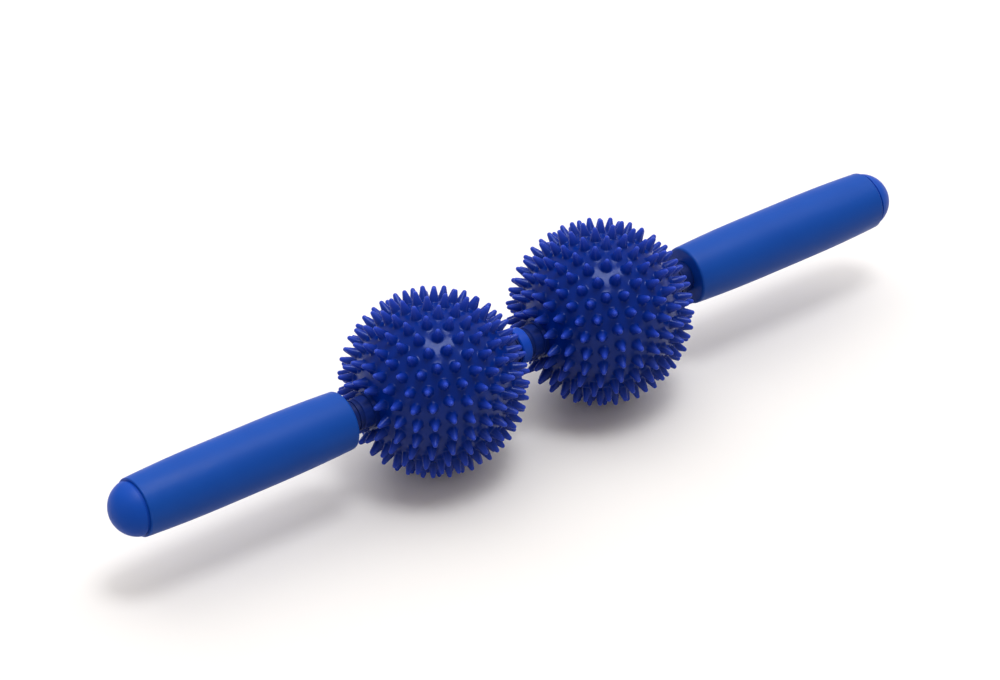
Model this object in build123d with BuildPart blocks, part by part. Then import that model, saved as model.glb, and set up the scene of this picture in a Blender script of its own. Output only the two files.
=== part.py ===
from build123d import *
from math import acos, atan2, cos, degrees, hypot, pi, radians, sqrt
import os

# Spiky twin massage roller: two spiked balls that turn on a rod between two handles.
# Frame: +X along the rod towards the right handle, +Z up, the floor at Z = 0 under the middle of the rod.
# Lengths are in millimetres and angles in degrees. Every section is drawn as (distance along the rod
# away from its start, radius) and turned about the rod, so one drawing serves the left and the right.

# Fits
running_gap = 0.05
seat_gap = 0.05
end_float = 0.15
cut_overrun = 2.0

# Rod
axle_radius = 5.0
axle_end_chamfer = 0.8
thread_radius = 3.0
thread_gap = 0.05
thread_runout = 8.2

# Spiked balls
ball_diameter = 90.0
ball_gap = 8.4
spike_height = 6.7
spike_root_radius = 2.65
spike_tip_radius = 1.1
spike_embed = 1.0
skin_wall = 3.0
pole_land_margin = 0.4
neck_length = 8.0
neck_gap = 0.1

# Spike rings: the equator ring first, then each ring towards a pole
ring_counts = (30, 29, 28, 25, 21, 16, 10)
ring_turn_shares = (0.0, 0.5, 0.3, 0.65, 0.75, 0.7, 0.0)
seam_turn_share = 0.25
pole_ring_gap = 0.7

# Ball cores
core_spigot_wall = 0.8
core_spigot_step = 0.8
core_flange_step = 1.1
core_flange_thickness = 2.0
core_boss_length = 5.0
core_relief_gap = 1.0
boss_edge_chamfer = 0.4

# Bushes and thrust washers
bush_wall = 1.0
bush_length = 12.0
bush_flange_step = 1.0
bush_flange_thickness = 1.2
thrust_washer_step = 0.5
thrust_washer_thickness = 1.0
thrust_washer_gap = 0.2

# Spacer and collars
spacer_step = 1.2
spacer_edge_chamfer = 0.5
collar_wall = 2.4
collar_length = 5.55

# Handles
grip_length = 114.0
grip_middle_radius = 15.3
grip_ball_end_drop = 1.1
grip_cap_end_drop = 1.15
clip_land_length = 30.0
grip_ball_end_round = 1.2
grip_cap_end_round = 0.5
grip_mouth_wall = 1.95
grip_end_wall = 4.0
plug_ledge = 0.8
grip_hub_wall = 2.95
grip_hub_length = 14.0
rib_count = 6
rib_thickness = 1.6
rib_bite = 1.0

# Plugs in the handles
plug_thickness = 8.0
plug_web = 3.0
plug_hub_wall = 2.35
plug_rim = 1.8
plug_pocket_depth = 4.5

# Screws and their washers
screw_hole_gap = 0.3
screw_length = 16.0
screw_head_radius = 5.5
screw_head_height = 3.6
screw_head_round = 1.2
socket_across_flats = 4.0
socket_depth = 2.2
screw_washer_margin = 0.7
screw_washer_thickness = 1.2
head_room = 1.2

# End caps
cap_step = 0.9
cap_height = 10.8
cap_edge_round = 0.4
cap_groove_width = 1.2
cap_shoulder = 0.35
cap_wall = 2.4
spigot_length = 12.0
bead_height = 0.3
bead_half_width = 0.8

# Radii, from the rod outwards
axle_bore = axle_radius + seat_gap
bush_radius = axle_radius + running_gap + bush_wall
bush_flange_radius = bush_radius + bush_flange_step
thrust_washer_radius = bush_flange_radius + thrust_washer_step
spacer_radius = thrust_washer_radius + spacer_step
collar_radius = axle_bore + collar_wall
core_spigot_radius = bush_radius + seat_gap + core_spigot_wall
core_radius = core_spigot_radius + core_spigot_step
core_flange_radius = core_radius + core_flange_step
pole_land_radius = core_flange_radius + pole_land_margin

# Radii of the handles and what fits in them
grip_ball_end_radius = grip_middle_radius - grip_ball_end_drop
grip_cap_end_radius = grip_middle_radius - grip_cap_end_drop
mouth_radius = grip_cap_end_radius - grip_mouth_wall
grip_bore = mouth_radius - plug_ledge
grip_hub_radius = axle_bore + grip_hub_wall
plug_radius = mouth_radius - seat_gap
plug_hub_radius = axle_bore + plug_hub_wall
spigot_radius = mouth_radius - seat_gap
screw_hole_radius = thread_radius + screw_hole_gap
screw_washer_radius = screw_head_radius + screw_washer_margin

# Places along the rod, from a ball's centre
ball_radius = ball_diameter / 2
skin_radius = ball_radius - spike_height
pole_face = sqrt(skin_radius**2 - pole_land_radius**2)
flange_face = pole_face + core_flange_thickness
boss_face = flange_face + core_boss_length
bush_face = boss_face + bush_flange_thickness
washer_face = bush_face + end_float
stack_end = washer_face + thrust_washer_thickness

# Places along the rod, from its middle
ball_place = (ball_diameter + ball_gap) / 2
spacer_end = ball_place - stack_end
collar_start = ball_place + stack_end
grip_start = collar_start + collar_length
grip_end = grip_start + grip_length
seat_depth = plug_thickness + screw_washer_thickness + screw_head_height + head_room + spigot_length
plug_start = grip_end - seat_depth
plug_end = plug_start + plug_thickness
axle_end = plug_end - plug_web
head_start = plug_end + screw_washer_thickness
thread_end = head_start - screw_length
tapped_depth = axle_end - thread_end + thread_runout
bead_place = grip_end - spigot_length / 2

# The rings spread evenly from the equator to the one that just clears the pole land
last_ring = len(ring_counts) - 1
pole_ring_radius = pole_land_radius + spike_root_radius + pole_ring_gap
ring_pitch = degrees(acos(pole_ring_radius / skin_radius)) / last_ring

# The ball stands on two neighbouring spikes of its equator ring
half_ring_step = 180 / ring_counts[0]
axis_height = (ball_radius - spike_tip_radius) * cos(radians(half_ring_step)) + spike_tip_radius
rod_axis = Axis((0, 0, axis_height), (1, 0, 0))


def section_plane(start, direction):
    """Upright plane through the rod, with its origin at start and its x pointing away in direction."""
    return Plane(origin=(start, 0, axis_height), x_dir=(direction, 0, 0), z_dir=(0, -direction, 0))


def cross_plane(place, direction):
    """Plane square to the rod at a signed place, facing in direction."""
    return Plane(origin=(place, 0, axis_height), x_dir=(0, direction, 0), z_dir=(direction, 0, 0))


def outward_axis(direction):
    return Axis((0, 0, axis_height), (direction, 0, 0))


def ring_profile(start, length, bore, radius, mode=Mode.ADD):
    """Rectangle that makes a ring, or a plain bore, when it is turned about the rod."""
    with Locations((start, bore)):
        Rectangle(length, radius - bore, align=(Align.MIN, Align.MIN), mode=mode)


def end_rim(piece, facing):
    """Outer edge of the flat face that lies furthest along facing."""
    return piece.faces().filter_by(GeomType.PLANE).sort_by(facing)[-1].outer_wire().edges()


def keep(piece, name):
    piece.part.label = name
    export_step(piece.part, f"parts/{name}.step")


def spike_places():
    """Turn about the rod and tilt towards a pole for every spike, from straight up."""
    places = []
    for step in range(-last_ring, last_ring + 1):
        ring = abs(step)
        ring_step = 360 / ring_counts[ring]
        for index in range(ring_counts[ring]):
            turn = 360 * seam_turn_share + ring_step * (index + ring_turn_shares[ring])
            places.append(Location((0, 0, 0), (turn, ring_pitch * step, 0)))
    return places


def make_ball():
    """Hollow vinyl skin with a neck round each pole opening and its spikes, centred on the origin."""
    tip_place = ball_radius - spike_tip_radius
    tip_rise = tip_place - skin_radius
    taper = acos(spike_tip_radius / hypot(spike_root_radius, tip_rise)) - atan2(tip_rise, spike_root_radius)
    with BuildPart() as spike:
        with BuildSketch(Plane.XZ):
            with BuildLine():
                tip = CenterArc((0, tip_place), spike_tip_radius, degrees(taper), degrees(pi / 2 - taper))
                Polyline(
                    tip @ 0,
                    (spike_root_radius, skin_radius),
                    (spike_root_radius, skin_radius - spike_embed),
                    (0, skin_radius - spike_embed),
                    tip @ 1,
                )
            make_face()
        revolve(axis=Axis.Z)

    inner_radius = skin_radius - skin_wall
    neck_bore = core_radius + neck_gap
    inner_pole = sqrt(inner_radius**2 - pole_land_radius**2)
    neck_end = pole_face - neck_length
    outer_edges = [(place, pole_land_radius) for place in (pole_face, -pole_face)]
    inner_edges = [(place, pole_land_radius) for place in (inner_pole, -inner_pole)]
    with BuildPart() as ball:
        with BuildSketch(Plane.XZ):
            with BuildLine():
                ThreePointArc(outer_edges[0], (0, skin_radius), outer_edges[1])
                ThreePointArc(inner_edges[0], (0, inner_radius), inner_edges[1])
                for end in (1, -1):
                    Polyline(
                        (end * pole_face, pole_land_radius),
                        (end * pole_face, neck_bore),
                        (end * neck_end, neck_bore),
                        (end * neck_end, pole_land_radius),
                        (end * inner_pole, pole_land_radius),
                    )
            make_face()
        revolve(axis=Axis.X)
        with Locations(*spike_places()):
            add(spike.part)
    return ball


def make_placed_ball(ball, side):
    with BuildPart() as placed:
        with Locations((side * ball_place, 0, axis_height)):
            add(ball.part)
    return placed


def make_core(side):
    """Tube through the ball: flange and boss at the outer pole, a spigot for the lock ring at the other."""
    bush_seat = bush_radius + seat_gap
    seat_reach = bush_length - bush_flange_thickness
    with BuildPart() as core:
        with BuildSketch(section_plane(side * ball_place, side)):
            ring_profile(-pole_face, 2 * pole_face, 0, core_radius)
            ring_profile(-boss_face, boss_face - pole_face, 0, core_spigot_radius)
            ring_profile(pole_face, core_flange_thickness, 0, core_flange_radius)
            ring_profile(flange_face, core_boss_length, 0, core_radius)
            ring_profile(-boss_face, 2 * boss_face, 0, axle_radius + core_relief_gap, Mode.SUBTRACT)
            ring_profile(-boss_face, seat_reach, 0, bush_seat, Mode.SUBTRACT)
            ring_profile(boss_face - seat_reach, seat_reach, 0, bush_seat, Mode.SUBTRACT)
        revolve(axis=rod_axis)
        chamfer(end_rim(core, outward_axis(side)), boss_edge_chamfer)
    return core


def make_lock_ring(side):
    """Flanged ring on the inner spigot of a core: with the core's flange it traps the ball's skin."""
    bore = core_spigot_radius + seat_gap
    with BuildPart() as ring:
        with BuildSketch(section_plane(side * ball_place, -side)):
            ring_profile(pole_face, core_flange_thickness, bore, core_flange_radius)
            ring_profile(flange_face, core_boss_length, bore, core_radius)
        revolve(axis=rod_axis)
        chamfer(end_rim(ring, outward_axis(-side)), boss_edge_chamfer)
    return ring


def make_bush(side, direction):
    """Flanged plain bush in one end of a core; direction points out of that end."""
    bore = axle_radius + running_gap
    with BuildPart() as bush:
        with BuildSketch(section_plane(side * ball_place, direction)):
            ring_profile(bush_face - bush_length, bush_length, bore, bush_radius)
            ring_profile(boss_face, bush_flange_thickness, bore, bush_flange_radius)
        revolve(axis=rod_axis)
    return bush


def make_thrust_washer(side, direction):
    with BuildPart() as washer:
        with BuildSketch(section_plane(side * ball_place, direction)):
            ring_profile(
                washer_face, thrust_washer_thickness, axle_radius + thrust_washer_gap, thrust_washer_radius
            )
        revolve(axis=rod_axis)
    return washer


def make_sleeve(start, length, radius, side):
    """Sleeve on the rod with both outer edges broken, for the spacer and the collars."""
    with BuildPart() as sleeve:
        with BuildSketch(section_plane(0, side)):
            ring_profile(start, length, axle_bore, radius)
        revolve(axis=rod_axis)
        for direction in (-1, 1):
            chamfer(end_rim(sleeve, outward_axis(direction)), spacer_edge_chamfer)
    return sleeve


def make_grip(side):
    """Hollow barrel handle: closed at the ball end round the rod, open at the cap end."""
    land_start = grip_start + (grip_length - clip_land_length) / 2
    land_end = land_start + clip_land_length
    hub_start = grip_start + grip_end_wall
    ball_end = (grip_start, grip_ball_end_radius)
    cap_end = (grip_end, grip_cap_end_radius)
    with BuildPart() as grip:
        with BuildSketch(section_plane(0, side)):
            with BuildLine():
                Line((land_start, grip_middle_radius), (land_end, grip_middle_radius))
                TangentArc((land_start, grip_middle_radius), ball_end, tangent=(-1, 0))
                TangentArc((land_end, grip_middle_radius), cap_end, tangent=(1, 0))
                Polyline(ball_end, (grip_start, 0), (grip_end, 0), cap_end)
            make_face()
        revolve(axis=rod_axis)
        fillet(end_rim(grip, outward_axis(-side)), grip_ball_end_round)
        fillet(end_rim(grip, outward_axis(side)), grip_cap_end_round)

        with BuildSketch(section_plane(0, side)):
            ring_profile(hub_start, plug_start - hub_start, 0, grip_bore)
            ring_profile(plug_start, seat_depth + cut_overrun, 0, mouth_radius)
            with BuildLine():
                Polyline(
                    (bead_place - bead_half_width - seat_gap, mouth_radius),
                    (bead_place, mouth_radius + bead_height),
                    (bead_place + bead_half_width + seat_gap, mouth_radius),
                    (bead_place, 0),
                    close=True,
                )
            make_face()
        revolve(axis=rod_axis, mode=Mode.SUBTRACT)

        with BuildSketch(cross_plane(side * hub_start, side)):
            Circle(grip_hub_radius)
            with PolarLocations((axle_radius + grip_bore + rib_bite) / 2, rib_count):
                Rectangle(grip_bore + rib_bite - axle_radius, rib_thickness)
        extrude(amount=grip_hub_length)

        with BuildSketch(cross_plane(side * grip_start, side)):
            Circle(axle_bore)
        extrude(amount=grip_end_wall + grip_hub_length, mode=Mode.SUBTRACT)
    return grip


def make_grip_plug(side):
    """Hub in the cap end of a handle: it seats on the handle's ledge and on the end of the rod."""
    pocket_radius = plug_radius - plug_rim
    pocket_start = plug_end - plug_pocket_depth
    with BuildPart() as plug:
        with BuildSketch(section_plane(0, side)):
            ring_profile(plug_start, plug_thickness, 0, plug_radius)
            ring_profile(plug_start, plug_thickness - plug_web, 0, axle_bore, Mode.SUBTRACT)
            ring_profile(plug_start, plug_thickness, 0, screw_hole_radius, Mode.SUBTRACT)
            ring_profile(pocket_start, plug_pocket_depth, plug_hub_radius, pocket_radius, Mode.SUBTRACT)
        revolve(axis=rod_axis)
    return plug


def make_end_cap(side):
    """Hollow dome on a push-in spigot, with a narrow groove where it meets the handle."""
    cap_radius = grip_cap_end_radius - cap_step
    dome_start = grip_end + cap_groove_width
    dome_radius = (cap_radius**2 + cap_height**2) / (2 * cap_height)
    dome_centre = dome_start + cap_height - dome_radius
    hollow_radius = spigot_radius - cap_wall
    inner_dome_radius = dome_radius - cap_wall
    inner_dome_start = dome_centre + sqrt(inner_dome_radius**2 - hollow_radius**2)
    outer_angle = degrees(atan2(cap_radius, dome_start - dome_centre))
    inner_angle = degrees(atan2(hollow_radius, inner_dome_start - dome_centre))
    spigot_end = grip_end - spigot_length
    with BuildPart() as cap:
        with BuildSketch(section_plane(0, side)):
            with BuildLine():
                CenterArc((dome_centre, 0), dome_radius, 0, outer_angle)
                CenterArc((dome_centre, 0), inner_dome_radius, 0, inner_angle)
                Line((dome_centre + dome_radius, 0), (dome_centre + inner_dome_radius, 0))
                Polyline(
                    (dome_start, cap_radius),
                    (dome_start, mouth_radius + cap_shoulder),
                    (grip_end, mouth_radius + cap_shoulder),
                    (grip_end, spigot_radius),
                    (bead_place + bead_half_width, spigot_radius),
                    (bead_place, spigot_radius + bead_height),
                    (bead_place - bead_half_width, spigot_radius),
                    (spigot_end, spigot_radius),
                    (spigot_end, hollow_radius),
                    (inner_dome_start, hollow_radius),
                )
            make_face()
        revolve(axis=rod_axis)
        fillet(end_rim(cap, outward_axis(side)), cap_edge_round)
    return cap


def make_axle():
    with BuildPart() as axle:
        with BuildSketch(section_plane(0, 1)):
            ring_profile(-axle_end, 2 * axle_end, 0, axle_radius)
        revolve(axis=rod_axis)
        chamfer(axle.edges().filter_by(GeomType.CIRCLE), axle_end_chamfer)
        for side in (-1, 1):
            with BuildSketch(cross_plane(side * axle_end, -side)):
                Circle(thread_radius + thread_gap)
            extrude(amount=tapped_depth, mode=Mode.SUBTRACT)
    return axle


def make_screws():
    """Two socket-head screws, one in each end of the rod."""
    head_face = head_start + screw_head_height
    with BuildPart() as screws:
        for side in (-1, 1):
            with BuildSketch(section_plane(0, side)):
                ring_profile(thread_end, screw_length, 0, thread_radius)
                ring_profile(head_start, screw_head_height, 0, screw_head_radius)
            revolve(axis=rod_axis)
            fillet(end_rim(screws, outward_axis(side)), screw_head_round)
            with BuildSketch(cross_plane(side * head_face, -side)):
                RegularPolygon(socket_across_flats / 2, 6, major_radius=False)
            extrude(amount=socket_depth, mode=Mode.SUBTRACT)
    return screws


def make_screw_washers():
    with BuildPart() as washers:
        for side in (-1, 1):
            with BuildSketch(section_plane(0, side)):
                ring_profile(plug_end, screw_washer_thickness, screw_hole_radius, screw_washer_radius)
            revolve(axis=rod_axis)
    return washers


os.makedirs("parts", exist_ok=True)

keep(make_axle(), "axle_rod")
keep(make_sleeve(-spacer_end, 2 * spacer_end, spacer_radius, 1), "centre_spacer")
keep(make_screws(), "axle_screws")
keep(make_screw_washers(), "screw_washers")

plain_ball = make_ball()
for side, name in ((-1, "left"), (1, "right")):
    keep(make_placed_ball(plain_ball, side), f"{name}_spiky_ball")
    keep(make_core(side), f"{name}_ball_core")
    keep(make_lock_ring(side), f"{name}_core_lock_ring")
    for direction, end_name in ((side, "outer"), (-side, "inner")):
        keep(make_bush(side, direction), f"{name}_ball_{end_name}_bush")
        keep(make_thrust_washer(side, direction), f"{name}_{end_name}_thrust_washer")
    keep(make_sleeve(collar_start, collar_length, collar_radius, side), f"{name}_spacer_collar")
    keep(make_grip(side), f"{name}_grip")
    keep(make_grip_plug(side), f"{name}_grip_plug")
    keep(make_end_cap(side), f"{name}_end_cap")

print(f"overall length {2 * (grip_end + cap_groove_width + cap_height):.1f}, axis height {axis_height:.2f}")
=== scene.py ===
import math

import bpy
import numpy as np
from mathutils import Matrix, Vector
from mathutils.geometry import delaunay_2d_cdt


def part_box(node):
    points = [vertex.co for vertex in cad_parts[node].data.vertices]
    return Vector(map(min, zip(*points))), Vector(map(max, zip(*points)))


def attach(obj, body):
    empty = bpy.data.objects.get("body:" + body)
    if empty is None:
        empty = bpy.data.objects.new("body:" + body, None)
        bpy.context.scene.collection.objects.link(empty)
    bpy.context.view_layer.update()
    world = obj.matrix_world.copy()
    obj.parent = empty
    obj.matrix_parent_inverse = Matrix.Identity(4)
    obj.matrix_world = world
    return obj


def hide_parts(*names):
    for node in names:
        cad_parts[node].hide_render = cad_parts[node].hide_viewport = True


# Looks of a massage stick: two balls of soft vinyl with moulded spikes, on a rod between two satin
# plastic handles. Lengths are in millimetres until MM turns them to metres, and angles of constants
# are in degrees.

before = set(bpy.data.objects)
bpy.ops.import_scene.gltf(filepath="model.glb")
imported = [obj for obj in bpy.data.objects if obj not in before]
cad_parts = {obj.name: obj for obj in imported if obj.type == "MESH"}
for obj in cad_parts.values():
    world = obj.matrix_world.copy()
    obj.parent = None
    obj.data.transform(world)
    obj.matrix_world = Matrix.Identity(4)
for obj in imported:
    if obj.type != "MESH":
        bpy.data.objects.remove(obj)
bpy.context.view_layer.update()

MM = 0.001

# Spiked skins, as moulded
SPIKE_HEIGHT = 6.7
SPIKE_ROOT_RADIUS = 2.65
SPIKE_TIP_RADIUS = 1.1
SPIKE_ROOT_FILLET = 0.9
POLE_SPIKE_FILLET = 0.4
SKIN_WALL = 3.0
POLE_LAND_RADIUS = 9.2
NECK_BORE_RADIUS = 7.8
NECK_LENGTH = 8.0
POLE_RING_GAP = 0.7

# Spike rings, the equator ring first and then each ring towards a pole: how many spikes, and by what
# share of its spikes' spacing each ring is turned. SEAM_TURN_SHARE of a full turn is added to all.
RING_COUNTS = (30, 29, 28, 25, 21, 16, 10)
RING_TURN_SHARES = (0.0, 0.5, 0.3, 0.65, 0.75, 0.7, 0.0)
SEAM_TURN_SHARE = 0.25

# Fineness of the skins' mesh
SPIKE_SIDES = 24
TIP_STEPS = 5
FILLET_STEPS = 4
POLE_SIDES = 96
SHELL_STEPS = 24
WEB_SPACING = 1.3
WEB_MARGIN_SHARE = 0.6
SHARP_EDGE_ANGLE = 50.0

# Settings of the triangulation: it fills the whole outline with triangles and joins points this close
ALL_TRIANGLES = 0
WELD_DISTANCE = 1e-9

# The noise of the patterns lies almost wholly between these values
NOISE_RANGE = {"From Min": 0.3, "From Max": 0.7}

# Sockets of the Mix node when it mixes colours: share, first colour, second colour, result
MIX_SHARE = 0
MIX_FIRST = 6
MIX_SECOND = 7
MIX_RESULT = 2

# Vinyl: sizes of its patterns, roughness of the web between the spikes, and mirroring (0.5 would be
# that of bare glass)
VINYL_MOTTLE_SIZE = 9.0
VINYL_RUB_SIZE = 3.0
VINYL_PEEL_SIZE = 1.6
VINYL_PEEL_DEPTH = 0.012
WEB_ROUGHNESS = (0.17, 0.22)
VINYL_IOR = 1.52
VINYL_MIRRORING = 0.24

# Roughness that the spike tips have over the glossier web, rubbed dull by use
TIP_DULLING = 0.1

# Power of the height up a spike by which its colour pales: a painted shade on the web between the
# spikes and a painted highlight at the tips
PAINTED_TIP_LIGHT_POWER = 1.5

# Satin plastics: the roughness goes this far to either side of each finish's own
PLASTIC_MOTTLE_SIZE = 20.0
PLASTIC_RUB_SIZE = 6.0
PLASTIC_ROUGHNESS_SPREAD = 0.03
PLASTIC_IOR = 1.5
PLASTIC_MIRRORING = 0.18

# Metals, whose fine lines run along the rod
METAL_LINE_LENGTH = 40.0
METAL_LINE_DEPTH = 0.004
METAL_ROUGHNESS_SPREAD = 0.05

# Camera, as the photograph was taken. VIEW_TARGET is the x and y of the point that it looks at, at the
# rod's height.
VIEW_AZIMUTH = -37.36
VIEW_ELEVATION = 33.31
VIEW_DISTANCE = 2166.1
VIEW_TARGET = (-3.29, 9.34)
LENS = 165.85
SENSOR_WIDTH = 36.0

# Light. Each direction points to the middle of a panel, and each half angle is what the panel spans to
# either side of it.
KEY_DIRECTION = (0.07, -0.13, 0.99)
KEY_HALF_ANGLE = 10.5
KEY_STRENGTH = 0.72
HIGHLIGHT_HALF_ANGLE = 17.5
HIGHLIGHT_STRENGTH = 2.15
BACK_DIRECTION = (0.44, 0.41, 0.80)
BACK_HALF_ANGLE = 47.0
BACK_STRENGTH = 1.87
SIDE_DIRECTION = (-0.92, 0.05, 0.38)
SIDE_HALF_ANGLE = 35.0
SIDE_STRENGTH = 0.3
FILL_STRENGTH = 0.42

# Side of the square floor, in metres: so far past the view that no edge shows
FLOOR_SIZE = 30.0


def linear(hex_colour):
    """Linear RGBA of an sRGB hex colour."""
    shares = [int(hex_colour[start:start + 2], 16) / 255 for start in (0, 2, 4)]
    return (*[s / 12.92 if s <= 0.04045 else ((s + 0.055) / 1.055) ** 2.4 for s in shares], 1.0)


def add_node(tree, kind, inputs=None, **settings):
    """Adds a node with its settings; each input is a value, or another node's output to link."""
    node = tree.nodes.new(kind)
    for name, value in settings.items():
        setattr(node, name, value)
    for name, value in (inputs or {}).items():
        if isinstance(value, bpy.types.NodeSocket):
            tree.links.new(value, node.inputs[name])
        else:
            node.inputs[name].default_value = value
    return node


def new_material(name):
    """An empty material, its node tree and its output node."""
    material = bpy.data.materials.new(name)
    material.use_nodes = True
    tree = material.node_tree
    tree.nodes.clear()
    return material, tree, add_node(tree, "ShaderNodeOutputMaterial")


def moulded_surface(tree, colours, roughness, mottle_size, rub_size, grain_size, grain_depth):
    """Colour, roughness and relief of a moulded surface, each with a pattern of its own, whose size is
    about that of its lumps in millimetres. The colour and the roughness go between two values each."""
    place = add_node(tree, "ShaderNodeTexCoord").outputs["Object"]
    mottle, rub, grain = [
        add_node(tree, "ShaderNodeTexNoise", {"Vector": place, "Scale": 1 / (size * MM)}).outputs["Fac"]
        for size in (mottle_size, rub_size, grain_size)
    ]
    inputs = {"Value": mottle, **NOISE_RANGE, "To Min": 0.0, "To Max": 1.0}
    share = add_node(tree, "ShaderNodeMapRange", inputs).outputs["Result"]
    inputs = {MIX_SHARE: share, MIX_FIRST: linear(colours[0]), MIX_SECOND: linear(colours[1])}
    colour = add_node(tree, "ShaderNodeMix", inputs, data_type="RGBA").outputs[MIX_RESULT]
    inputs = {"Value": rub, **NOISE_RANGE, "To Min": roughness[0], "To Max": roughness[1]}
    dullness = add_node(tree, "ShaderNodeMapRange", inputs).outputs["Result"]
    inputs = {"Height": grain, "Strength": 1.0, "Distance": grain_depth * MM}
    relief = add_node(tree, "ShaderNodeBump", inputs).outputs["Normal"]
    return colour, dullness, relief


def spike_share(tree):
    """0 on the web of either ball and 1 at its spike tips, from the distance to the ball's centre."""
    place = add_node(tree, "ShaderNodeTexCoord").outputs["Object"]
    # Both balls are measured from the right one's centre, the left ball by its mirrored place
    folded = add_node(tree, "ShaderNodeVectorMath", {0: place}, operation="ABSOLUTE").outputs["Vector"]
    out = add_node(tree, "ShaderNodeSeparateXYZ", {"Vector": folded}).outputs["X"]
    upright = add_node(tree, "ShaderNodeSeparateXYZ", {"Vector": place})
    inputs = {"X": out, "Y": upright.outputs["Y"], "Z": upright.outputs["Z"]}
    mirrored = add_node(tree, "ShaderNodeCombineXYZ", inputs).outputs["Vector"]
    centre = (ball_place * MM, 0, axis_height * MM)
    reach = add_node(tree, "ShaderNodeVectorMath", {0: mirrored, 1: centre}, operation="DISTANCE")
    inputs = {
        "Value": reach.outputs["Value"],
        "From Min": skin_radius * MM,
        "From Max": ball_radius * MM,
        "To Min": 0.0,
        "To Max": 1.0,
    }
    return add_node(tree, "ShaderNodeMapRange", inputs).outputs["Result"]


def soft_vinyl():
    """Soft PVC, rotationally moulded. The eye sees a deep blue web with a tight pale highlight, and
    spikes that turn duller towards their tips. Their colour also pales up each spike: a painted shade
    on the web between the spikes and a painted highlight at the tips."""
    material, tree, out = new_material("soft vinyl, moulded")
    web_colour, web_roughness, peel = moulded_surface(
        tree,
        colours=("002886", "002E95"),
        roughness=WEB_ROUGHNESS,
        mottle_size=VINYL_MOTTLE_SIZE,
        rub_size=VINYL_RUB_SIZE,
        grain_size=VINYL_PEEL_SIZE,
        grain_depth=VINYL_PEEL_DEPTH,
    )
    upward = spike_share(tree)
    inputs = {0: upward, 1: TIP_DULLING, 2: web_roughness}
    roughness = add_node(tree, "ShaderNodeMath", inputs, operation="MULTIPLY_ADD").outputs["Value"]
    # Painted light: up each spike the colour mixes from the dark web to the pale tip colour, painting
    # shade between the spikes and a highlight at the tips
    inputs = {0: upward, 1: PAINTED_TIP_LIGHT_POWER}
    painted_tip_light = add_node(tree, "ShaderNodeMath", inputs, operation="POWER").outputs["Value"]
    inputs = {MIX_SHARE: painted_tip_light, MIX_FIRST: web_colour, MIX_SECOND: linear("3050D8")}
    shader = add_node(tree, "ShaderNodeBsdfPrincipled", {
        "Base Color": add_node(tree, "ShaderNodeMix", inputs, data_type="RGBA").outputs[MIX_RESULT],
        "Roughness": roughness,
        "IOR": VINYL_IOR,
        "Specular IOR Level": VINYL_MIRRORING,
        # The sheen of the dyed vinyl is a little blue itself
        "Specular Tint": linear("CCDCFF"),
        "Normal": peel,
    })
    tree.links.new(shader.outputs["BSDF"], out.inputs["Surface"])
    return material


def satin_plastic(name, colours, roughness, grain_size, grain_depth):
    """Plastic with an even satin, whose broad highlight has no sharp edge. The grain of a mould or a
    lathe, about 0.1 mm, is too fine to show, so grain_size draws it four or more times coarser."""
    material, tree, out = new_material(name)
    colour, dullness, relief = moulded_surface(
        tree,
        colours=colours,
        roughness=(roughness - PLASTIC_ROUGHNESS_SPREAD, roughness + PLASTIC_ROUGHNESS_SPREAD),
        mottle_size=PLASTIC_MOTTLE_SIZE,
        rub_size=PLASTIC_RUB_SIZE,
        grain_size=grain_size,
        grain_depth=grain_depth,
    )
    shader = add_node(tree, "ShaderNodeBsdfPrincipled", {
        "Base Color": colour,
        "Roughness": dullness,
        "IOR": PLASTIC_IOR,
        "Specular IOR Level": PLASTIC_MIRRORING,
        "Normal": relief,
    })
    tree.links.new(shader.outputs["BSDF"], out.inputs["Surface"])
    return material


def metal(name, colour, roughness, line_width):
    """Drawn or plated steel: fine lines along the rod stretch its highlights across it. Real lines of
    about 0.05 mm are too fine to show, so line_width draws them coarser."""
    material, tree, out = new_material(name)
    place = add_node(tree, "ShaderNodeTexCoord").outputs["Object"]
    scale = (1 / (METAL_LINE_LENGTH * MM), 1 / (line_width * MM), 1 / (line_width * MM))
    lines = add_node(tree, "ShaderNodeMapping", {"Vector": place, "Scale": scale}).outputs["Vector"]
    noise = add_node(tree, "ShaderNodeTexNoise", {"Vector": lines, "Scale": 1.0}).outputs["Fac"]
    inputs = {
        "Value": noise,
        **NOISE_RANGE,
        "To Min": roughness - METAL_ROUGHNESS_SPREAD,
        "To Max": roughness + METAL_ROUGHNESS_SPREAD,
    }
    dullness = add_node(tree, "ShaderNodeMapRange", inputs).outputs["Result"]
    inputs = {"Height": noise, "Strength": 1.0, "Distance": METAL_LINE_DEPTH * MM}
    relief = add_node(tree, "ShaderNodeBump", inputs).outputs["Normal"]
    shader = add_node(tree, "ShaderNodeBsdfPrincipled", {
        "Base Color": linear(colour),
        "Metallic": 1.0,
        "Roughness": dullness,
        "Normal": relief,
    })
    tree.links.new(shader.outputs["BSDF"], out.inputs["Surface"])
    return material


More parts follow.
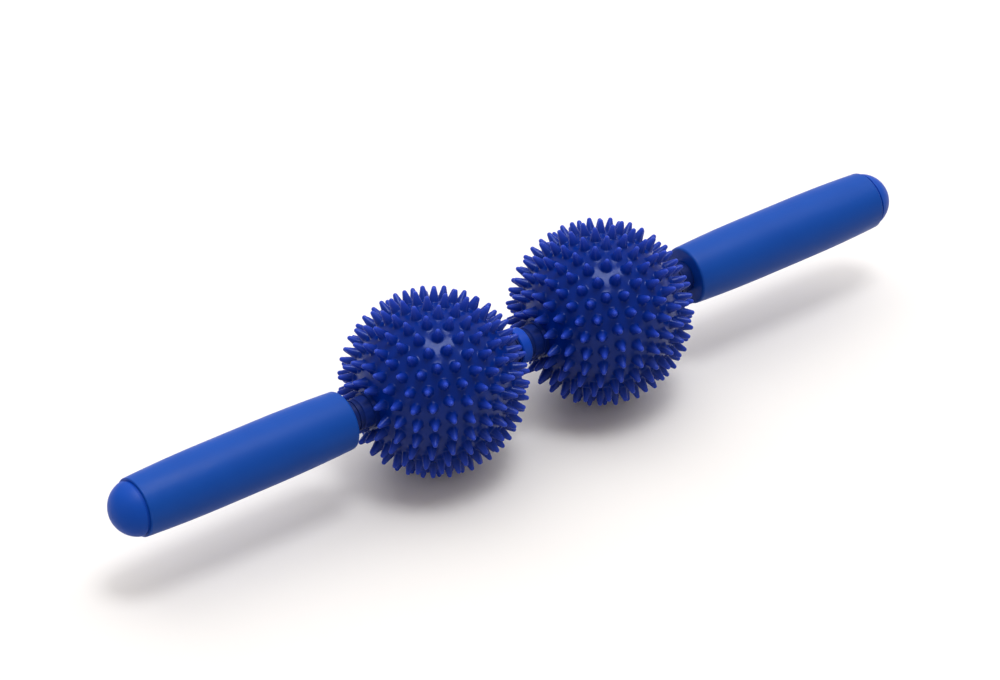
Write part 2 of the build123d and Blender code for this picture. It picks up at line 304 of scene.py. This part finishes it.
def paper_floor():
    """Paper sweep: white to the eye and in reflections, with the grey bounce of a studio table."""
    material, tree, out = new_material("white paper")
    rays = add_node(tree, "ShaderNodeLightPath").outputs
    inputs = {0: rays["Is Camera Ray"], 1: rays["Is Glossy Ray"]}
    seen_or_mirrored = add_node(tree, "ShaderNodeMath", inputs, operation="ADD").outputs["Value"]
    inputs = {0: seen_or_mirrored, 1: rays["Is Transmission Ray"]}
    white = add_node(tree, "ShaderNodeMath", inputs, operation="ADD", use_clamp=True).outputs["Value"]
    inputs = {MIX_SHARE: white, MIX_FIRST: linear("9C9C9C"), MIX_SECOND: linear("FFFFFF")}
    shader = add_node(tree, "ShaderNodeBsdfPrincipled", {
        "Base Color": add_node(tree, "ShaderNodeMix", inputs, data_type="RGBA").outputs[MIX_RESULT],
        "Roughness": 1.0,
        "Specular IOR Level": 0.0,
    })
    tree.links.new(shader.outputs["BSDF"], out.inputs["Surface"])
    return material


def spike_axes():
    """Unit direction and ring of every spike of a ball centred on the origin."""
    axes = []
    rings = []
    last_ring = len(RING_COUNTS) - 1
    pole_ring_radius = POLE_LAND_RADIUS + SPIKE_ROOT_RADIUS + POLE_RING_GAP
    pitch = math.acos(pole_ring_radius / skin_radius) / last_ring
    for step in range(-last_ring, last_ring + 1):
        ring = abs(step)
        tilt = pitch * step
        for index in range(RING_COUNTS[ring]):
            share = SEAM_TURN_SHARE + (index + RING_TURN_SHARES[ring]) / RING_COUNTS[ring]
            turn = 2 * math.pi * share
            out = Vector((0, -math.sin(turn), math.cos(turn))) * math.cos(tilt)
            axes.append((math.sin(tilt), out.y, out.z))
            rings.append(ring)
    return np.array(axes), rings


def spike_profile(fillet):
    """(radius, height) points up a spike: fillet off the skin, straight flank, rounded tip."""
    tip_place = ball_radius - SPIKE_TIP_RADIUS
    rise = tip_place - skin_radius
    # The flank starts at the root and touches the tip's ball; slope is its lean off the spike's axis
    slope = math.acos(SPIKE_TIP_RADIUS / math.hypot(SPIKE_ROOT_RADIUS, rise))
    slope -= math.atan2(rise, SPIKE_ROOT_RADIUS)
    out_of_flank = Vector((math.cos(slope), math.sin(slope)))
    up_flank = Vector((-math.sin(slope), math.cos(slope)))
    # The fillet's centre lies one fillet off the flank and one fillet off the skin
    foot = Vector((SPIKE_ROOT_RADIUS, skin_radius)) + out_of_flank * fillet
    reach = foot.dot(up_flank)
    rise_to_centre = math.sqrt(reach**2 - foot.length_squared + (skin_radius + fillet) ** 2) - reach
    centre = foot + up_flank * rise_to_centre
    start = math.atan2(-centre.y, -centre.x)
    end = math.atan2(-out_of_flank.y, -out_of_flank.x)
    points = []
    for step in range(FILLET_STEPS + 1):
        angle = start + (end - start) * step / FILLET_STEPS
        points.append((centre.x + fillet * math.cos(angle), centre.y + fillet * math.sin(angle)))
    for step in range(TIP_STEPS):
        angle = slope + (math.pi / 2 - slope) * step / TIP_STEPS
        out, up = SPIKE_TIP_RADIUS * math.cos(angle), SPIKE_TIP_RADIUS * math.sin(angle)
        points.append((out, tip_place + up))
    return points


def spike_circle(axis, radius, height):
    """Gives the point at each angle of a circle round a spike's axis."""
    side = Vector((1, 0, 0)).cross(axis).normalized()
    back = axis.cross(side)
    return lambda turn: axis * height + (side * math.cos(turn) + back * math.sin(turn)) * radius


def rod_circle(place, radius):
    """Gives the point at each angle of a circle round the rod."""
    return lambda turn: (place, radius * math.cos(turn), radius * math.sin(turn))


def web_points(axes, reaches):
    """Even points on the skin between the spikes, clear of every spike and of the pole lands."""
    count = int(4 * math.pi * skin_radius**2 / WEB_SPACING**2)
    index = np.arange(count)
    along = 1 - (2 * index + 1) / count
    # Steps of the golden angle spread the points evenly round the ball
    turn = index * math.pi * (3 - math.sqrt(5))
    ring = np.sqrt(1 - along**2)
    spots = np.stack([along, ring * np.cos(turn), ring * np.sin(turn)], axis=1)
    margin = WEB_MARGIN_SHARE * WEB_SPACING / skin_radius
    to_spikes = np.arccos(np.clip(spots @ axes.T, -1, 1))
    to_pole = np.arccos(np.abs(along))
    off_spikes = (to_spikes > np.array(reaches) + margin).all(axis=1)
    off_lands = to_pole > math.asin(POLE_LAND_RADIUS / skin_radius) + margin
    return spots[off_spikes & off_lands] * skin_radius


def web_faces(points, owners):
    """Triangles between the spikes: a flat triangulation of the skin seen from one pole. Those whose
    corners all have one owner fill a spike's root or a pole land, and are left out."""
    flat = [Vector((p[1], p[2])) / (1 + p[0] / skin_radius) for p in points]
    _, _, triangles, sources, _, _ = delaunay_2d_cdt(flat, [], [], ALL_TRIANGLES, WELD_DISTANCE)
    faces = []
    for triangle in triangles:
        corners = [sources[corner][0] for corner in triangle]
        rims = {owners[corner] for corner in corners}
        if len(rims) == 1 and None not in rims:
            continue
        a, b, c = (Vector(points[corner]) for corner in corners)
        if (b - a).cross(c - a).dot(a) < 0:
            corners.reverse()
        faces.append(corners)
    return faces


def hollow_rows():
    """(place, radius) of each ring of the hollow inside, from one pole land to the other."""
    inner_radius = skin_radius - SKIN_WALL
    inner_pole = math.sqrt(inner_radius**2 - POLE_LAND_RADIUS**2)
    start = math.atan2(inner_pole, POLE_LAND_RADIUS)
    neck_end = pole_face - NECK_LENGTH
    neck = [
        (pole_face, NECK_BORE_RADIUS),
        (neck_end, NECK_BORE_RADIUS),
        (neck_end, POLE_LAND_RADIUS),
    ]
    shell = []
    for step in range(SHELL_STEPS + 1):
        angle = start * (1 - 2 * step / SHELL_STEPS)
        shell.append((inner_radius * math.sin(angle), inner_radius * math.cos(angle)))
    return neck + shell + [(-place, radius) for place, radius in reversed(neck)]


def skin_mesh():
    """Spiked skin centred on the origin: web, spikes, pole lands, necks and the hollow inside."""
    axes, rings = spike_axes()
    last_ring = len(RING_COUNTS) - 1
    profiles = [spike_profile(SPIKE_ROOT_FILLET)] * last_ring + [spike_profile(POLE_SPIKE_FILLET)]
    reaches = [math.atan2(*profiles[ring][0]) for ring in rings]
    points = []
    owners = []
    faces = []

    def ring_of(sides, place):
        """Adds a ring of points, each from its angle, and gives their numbers."""
        first = len(points)
        points.extend(tuple(place(2 * math.pi * side / sides)) for side in range(sides))
        return list(range(first, first + sides))

    def band(lower, upper):
        """Adds quads between two rings, or triangles to a single point."""
        sides = len(lower)
        for side in range(sides):
            after = (side + 1) % sides
            if len(upper) == 1:
                faces.append((lower[side], lower[after], upper[0]))
            else:
                faces.append((lower[side], lower[after], upper[after], upper[side]))

    # Roots of the spikes and edges of the pole lands, and the web that joins them
    rims = []
    for axis, ring in zip(axes, rings):
        rims.append(ring_of(SPIKE_SIDES, spike_circle(Vector(axis), *profiles[ring][0])))
        owners += [("spike", len(rims))] * SPIKE_SIDES
    lands = {}
    for end in (1, -1):
        lands[end] = ring_of(POLE_SIDES, rod_circle(end * pole_face, POLE_LAND_RADIUS))
        owners += [("land", end)] * POLE_SIDES
    between_spikes = web_points(axes, reaches)
    points.extend(tuple(p) for p in between_spikes)
    owners += [None] * len(between_spikes)
    faces.extend(web_faces(points, owners))

    # Spikes, from root to tip
    for axis, ring, rim in zip(axes, rings, rims):
        axis = Vector(axis)
        lower = rim
        for radius, height in profiles[ring][1:]:
            upper = ring_of(SPIKE_SIDES, spike_circle(axis, radius, height))
            band(lower, upper)
            lower = upper
        points.append(tuple(axis * ball_radius))
        band(lower, [len(points) - 1])

    # Inside, from one pole land to the other
    lower = lands[1]
    for place, radius in hollow_rows():
        upper = ring_of(POLE_SIDES, rod_circle(place, radius))
        band(lower, upper)
        lower = upper
    band(lower, lands[-1])
    return points, faces


def add_skin(name, side_sign, points, faces):
    """One ball's skin, in place on the rod."""
    mesh = bpy.data.meshes.new(name)
    centre = Vector((side_sign * ball_place, 0, axis_height))
    mesh.from_pydata([(Vector(p) + centre) * MM for p in points], [], faces)
    mesh.shade_smooth()
    mesh.set_sharp_from_angle(angle=math.radians(SHARP_EDGE_ANGLE))
    piece = bpy.data.objects.new(name, mesh)
    bpy.context.scene.collection.objects.link(piece)
    return piece


# Sizes that the frame holds, and how far the pole lands of a ball are from its middle
ball_low, ball_high = (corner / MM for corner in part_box("right_spiky_ball"))
rod_low, rod_high = (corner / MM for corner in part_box("axle_rod"))
axis_height = (rod_low.z + rod_high.z) / 2
ball_place = (ball_low.x + ball_high.x) / 2
ball_radius = (ball_high.y - ball_low.y) / 2
skin_radius = ball_radius - SPIKE_HEIGHT
pole_face = math.sqrt(skin_radius**2 - POLE_LAND_RADIUS**2)

# Materials. Spiked balls: soft PVC.
vinyl = soft_vinyl()

# Handles: an even satin. Caps: a little brighter with a shallower grain, so that each stands out from
# its handle.
handle_abs = satin_plastic(
    "handle ABS, spark-eroded satin",
    ("0C50B8", "0E53BC"),
    roughness=0.42, grain_size=0.5, grain_depth=0.01,
)
cap_abs = satin_plastic(
    "cap ABS, fine satin",
    ("0A50C2", "0C53C8"),
    roughness=0.45, grain_size=0.5, grain_depth=0.006,
)

# Spacer between the balls: the brightest blue, a clear mark in the gap
sleeve_abs = satin_plastic(
    "sleeve ABS, turned smooth",
    ("1050D0", "1253D6"),
    roughness=0.35, grain_size=0.6, grain_depth=0.004,
)

# Hubs of the balls and what runs against them: navy, a painted shade that stands in for the dark gap
# behind the spikes
core_abs_painted_shade = satin_plastic(
    "navy core ABS as painted shade, moulded",
    ("0E2C7E", "102F86"),
    roughness=0.4, grain_size=0.5, grain_depth=0.006,
)
# Bushes, collars and washers: navy as well, the same painted shade in the gap
acetal_painted_shade = satin_plastic(
    "navy acetal, turned",
    ("0E2870", "102B76"),
    roughness=0.35, grain_size=0.4, grain_depth=0.004,
)

# Plugs inside the handles: the off-white of undyed nylon
nylon = satin_plastic(
    "natural nylon, moulded",
    ("C6C3B8", "D0CDC2"),
    roughness=0.45, grain_size=0.8, grain_depth=0.01,
)

# Rod: bright and a little streaked. Screws and washers: the paler, duller grey of plating.
drawn_steel = metal("bright drawn steel", "B4B6B8", roughness=0.22, line_width=0.3)
zinc = metal("zinc-plated steel", "C2C6CC", roughness=0.3, line_width=0.5)

finishes = {
    "axle_rod": drawn_steel,
    "axle_screws": zinc,
    "screw_washers": zinc,
    "centre_spacer": sleeve_abs,
}
for side in ("left", "right"):
    finishes[f"{side}_spacer_collar"] = acetal_painted_shade
    finishes[f"{side}_grip"] = handle_abs
    finishes[f"{side}_end_cap"] = cap_abs
    finishes[f"{side}_ball_core"] = core_abs_painted_shade
    finishes[f"{side}_core_lock_ring"] = core_abs_painted_shade
    finishes[f"{side}_grip_plug"] = nylon
    finishes[f"{side}_spiky_ball"] = vinyl
    for end in ("inner", "outer"):
        finishes[f"{side}_ball_{end}_bush"] = acetal_painted_shade
        finishes[f"{side}_{end}_thrust_washer"] = acetal_painted_shade
for name, material in finishes.items():
    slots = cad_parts[name].data.materials
    slots.clear()
    slots.append(material)

# Spiked skins
skin_points, skin_faces = skin_mesh()
for side, side_sign in (("left", -1), ("right", 1)):
    skin = add_skin(f"{side}_ball_skin", side_sign, skin_points, skin_faces)
    skin.data.materials.append(vinyl)
    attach(skin, f"{side}_ball")
    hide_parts(f"{side}_spiky_ball")

# Floor
floor_mesh = bpy.data.meshes.new("floor")
half = FLOOR_SIZE / 2
corners = [(-half, -half, 0), (half, -half, 0), (half, half, 0), (-half, half, 0)]
floor_mesh.from_pydata(corners, [], [(0, 1, 2, 3)])
floor = bpy.data.objects.new("floor", floor_mesh)
floor.data.materials.append(paper_floor())
bpy.context.scene.collection.objects.link(floor)

# Light. The overhead panel casts the short dark shadow under each ball. The glossy surfaces mirror it
# together with the glow round it, which is wider, so that has a lamp of its own. The broad back panel
# casts the long pale shadows. The weak side panel lights the near cap and the handles' inner ends.
for name, direction, half_angle, strength, in_gloss in (
    ("overhead panel", KEY_DIRECTION, KEY_HALF_ANGLE, KEY_STRENGTH, False),
    ("overhead highlight", KEY_DIRECTION, HIGHLIGHT_HALF_ANGLE, HIGHLIGHT_STRENGTH, True),
    ("back panel", BACK_DIRECTION, BACK_HALF_ANGLE, BACK_STRENGTH, False),
    ("side panel", SIDE_DIRECTION, SIDE_HALF_ANGLE, SIDE_STRENGTH, False),
):
    lamp = bpy.data.objects.new(name, bpy.data.lights.new(name, "SUN"))
    lamp.data.energy = strength
    lamp.data.angle = math.radians(2 * half_angle)
    lamp.rotation_euler = Vector(direction).to_track_quat("Z", "Y").to_euler()
    lamp.visible_glossy = in_gloss
    lamp.visible_diffuse = not in_gloss
    bpy.context.scene.collection.objects.link(lamp)

# Warm white of the room, from all round
world = bpy.data.worlds.new("fill")
world.use_nodes = True
world.node_tree.nodes.clear()
fill_inputs = {"Color": linear("FFF3E8"), "Strength": FILL_STRENGTH}
fill = add_node(world.node_tree, "ShaderNodeBackground", fill_inputs)
add_node(world.node_tree, "ShaderNodeOutputWorld", {"Surface": fill.outputs["Background"]})
bpy.context.scene.world = world

# Camera
azimuth = math.radians(VIEW_AZIMUTH)
elevation = math.radians(VIEW_ELEVATION)
back = Vector((
    math.sin(azimuth) * math.cos(elevation),
    -math.cos(azimuth) * math.cos(elevation),
    math.sin(elevation),
))
camera = bpy.data.objects.new("camera", bpy.data.cameras.new("camera"))
camera.data.lens = LENS
camera.data.sensor_width = SENSOR_WIDTH
camera.location = (Vector((*VIEW_TARGET, axis_height)) + back * VIEW_DISTANCE) * MM
camera.rotation_euler = back.to_track_quat("Z", "Y").to_euler()
bpy.context.scene.collection.objects.link(camera)
bpy.context.scene.camera = camera
bpy.context.scene.view_settings.view_transform = "Standard"
